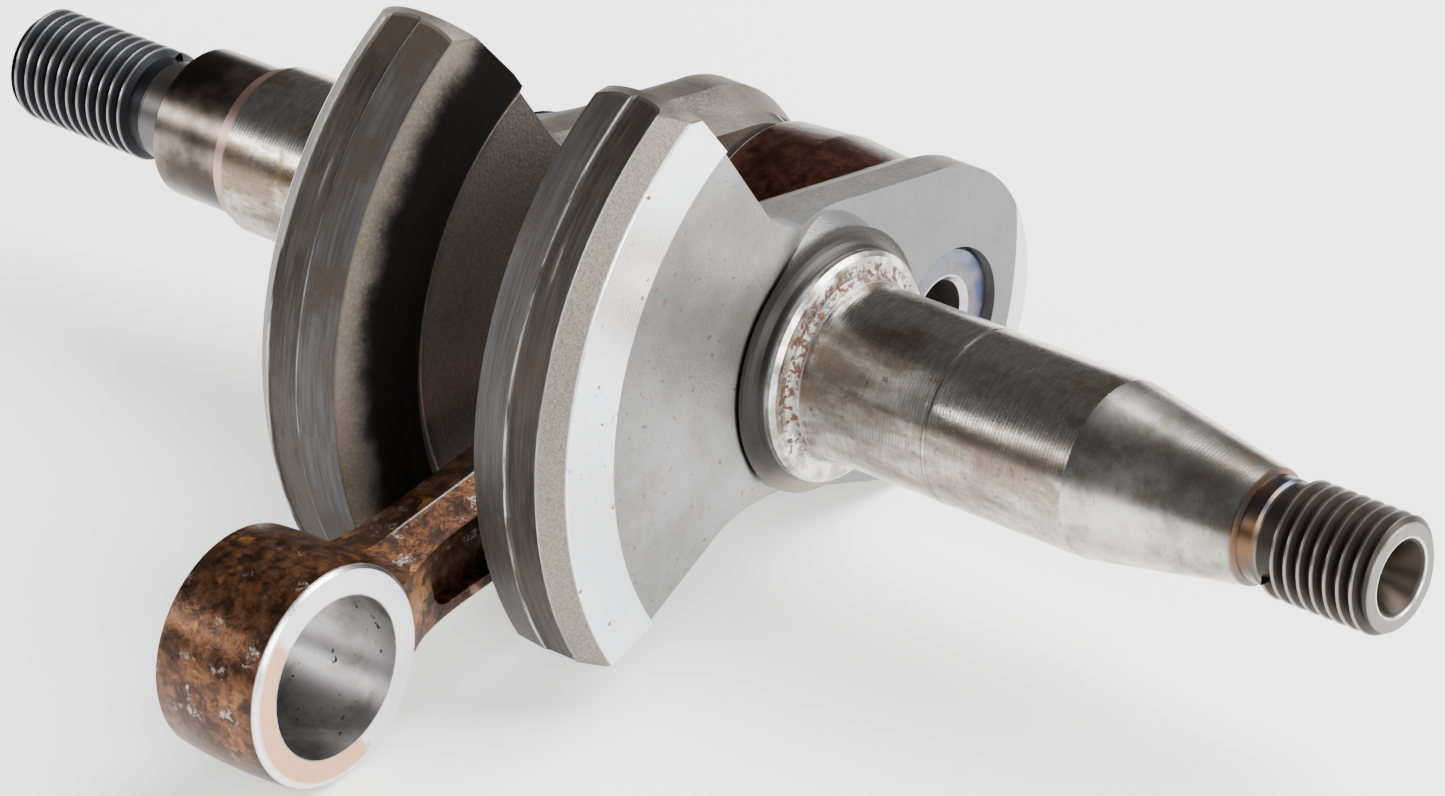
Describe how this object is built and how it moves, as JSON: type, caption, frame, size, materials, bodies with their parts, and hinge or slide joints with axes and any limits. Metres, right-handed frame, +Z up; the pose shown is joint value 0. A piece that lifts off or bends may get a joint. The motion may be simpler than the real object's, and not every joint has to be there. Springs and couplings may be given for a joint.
{
  "type": "engine crankshaft",
  "caption": "Built-up engine crankshaft with counterweighted webs, tapered and threaded shaft ends, hollow crankpin and a connecting rod on caged needle rollers.",
  "frame": {"origin": "on the shaft's axis at the connecting rod's middle plane, midway between the webs", "axes": "+X along the shaft towards the tapered end; +Z up, with the crankshaft lying on its arm ends and the rod's small end; the throw points to +Y and 19 degrees down, the rod to -Y"},
  "size_m": [0.1173, 0.0704, 0.0389],
  "materials": {
    "forged_steel": "shot-blasted forging with ground and turned shafts, brown stains and oil tarnish",
    "ground_pin_steel": "ground, with a slight blue temper colour",
    "coppered_steel": "worn copper plating, mottled brown, with bright turned ring faces",
    "cage_steel": "satin pressed steel",
    "bearing_steel": "polished"
  },
  "bodies": {
    "crank": {"taper_side_crank_half": "forged_steel", "thread_side_crank_half": "forged_steel", "crankpin": "ground_pin_steel"},
    "rod": {"connecting_rod": "coppered_steel"},
    "cage": {"big_end_cage": "cage_steel"},
    "roller_01": {"big_end_roller_01": "bearing_steel"},
    "roller_02": {"big_end_roller_02": "bearing_steel"},
    "roller_03": {"big_end_roller_03": "bearing_steel"},
    "roller_04": {"big_end_roller_04": "bearing_steel"},
    "roller_05": {"big_end_roller_05": "bearing_steel"},
    "roller_06": {"big_end_roller_06": "bearing_steel"},
    "roller_07": {"big_end_roller_07": "bearing_steel"},
    "roller_08": {"big_end_roller_08": "bearing_steel"},
    "roller_09": {"big_end_roller_09": "bearing_steel"},
    "roller_10": {"big_end_roller_10": "bearing_steel"},
    "roller_11": {"big_end_roller_11": "bearing_steel"},
    "roller_12": {"big_end_roller_12": "bearing_steel"}
  },
  "joints": [
    {"name": "rod_swing", "type": "hinge", "parent": "crank", "child": "rod", "pos_m": [0, 0.01496, -0.00507], "axis": [1, 0, 0], "continuous": true},
    {"name": "cage_orbit", "type": "hinge", "parent": "crank", "child": "cage", "pos_m": [0, 0.01496, -0.00507], "axis": [1, 0, 0], "continuous": true},
    {"name": "roller_01_spin", "type": "hinge", "parent": "cage", "child": "roller_01", "pos_m": [0, 0.02065, -0.007], "axis": [1, 0, 0], "continuous": true},
    {"name": "roller_02_spin", "type": "hinge", "parent": "cage", "child": "roller_02", "pos_m": [0, 0.02085, -0.0039], "axis": [1, 0, 0], "continuous": true},
    {"name": "roller_03_spin", "type": "hinge", "parent": "cage", "child": "roller_03", "pos_m": [0, 0.01947, -0.00112], "axis": [1, 0, 0], "continuous": true},
    {"name": "roller_04_spin", "type": "hinge", "parent": "cage", "child": "roller_04", "pos_m": [0, 0.01689, 0.00061], "axis": [1, 0, 0], "continuous": true},
    {"name": "roller_05_spin", "type": "hinge", "parent": "cage", "child": "roller_05", "pos_m": [0, 0.01379, 0.00081], "axis": [1, 0, 0], "continuous": true},
    {"name": "roller_06_spin", "type": "hinge", "parent": "cage", "child": "roller_06", "pos_m": [0, 0.01101, -0.00056], "axis": [1, 0, 0], "continuous": true},
    {"name": "roller_07_spin", "type": "hinge", "parent": "cage", "child": "roller_07", "pos_m": [0, 0.00928, -0.00315], "axis": [1, 0, 0], "continuous": true},
    {"name": "roller_08_spin", "type": "hinge", "parent": "cage", "child": "roller_08", "pos_m": [0, 0.00908, -0.00625], "axis": [1, 0, 0], "continuous": true},
    {"name": "roller_09_spin", "type": "hinge", "parent": "cage", "child": "roller_09", "pos_m": [0, 0.01045, -0.00903], "axis": [1, 0, 0], "continuous": true},
    {"name": "roller_10_spin", "type": "hinge", "parent": "cage", "child": "roller_10", "pos_m": [0, 0.01303, -0.01076], "axis": [1, 0, 0], "continuous": true},
    {"name": "roller_11_spin", "type": "hinge", "parent": "cage", "child": "roller_11", "pos_m": [0, 0.01614, -0.01096], "axis": [1, 0, 0], "continuous": true},
    {"name": "roller_12_spin", "type": "hinge", "parent": "cage", "child": "roller_12", "pos_m": [0, 0.01892, -0.00958], "axis": [1, 0, 0], "continuous": true}
  ],
  "couplings": [
    {"joint": "cage_orbit", "follows": "rod_swing", "ratio": 0.58333},
    {"joint": "roller_01_spin", "follows": "rod_swing", "ratio": 2.9167},
    {"joint": "roller_02_spin", "follows": "rod_swing", "ratio": 2.9167},
    {"joint": "roller_03_spin", "follows": "rod_swing", "ratio": 2.9167},
    {"joint": "roller_04_spin", "follows": "rod_swing", "ratio": 2.9167},
    {"joint": "roller_05_spin", "follows": "rod_swing", "ratio": 2.9167},
    {"joint": "roller_06_spin", "follows": "rod_swing", "ratio": 2.9167},
    {"joint": "roller_07_spin", "follows": "rod_swing", "ratio": 2.9167},
    {"joint": "roller_08_spin", "follows": "rod_swing", "ratio": 2.9167},
    {"joint": "roller_09_spin", "follows": "rod_swing", "ratio": 2.9167},
    {"joint": "roller_10_spin", "follows": "rod_swing", "ratio": 2.9167},
    {"joint": "roller_11_spin", "follows": "rod_swing", "ratio": 2.9167},
    {"joint": "roller_12_spin", "follows": "rod_swing", "ratio": 2.9167}
  ]
}
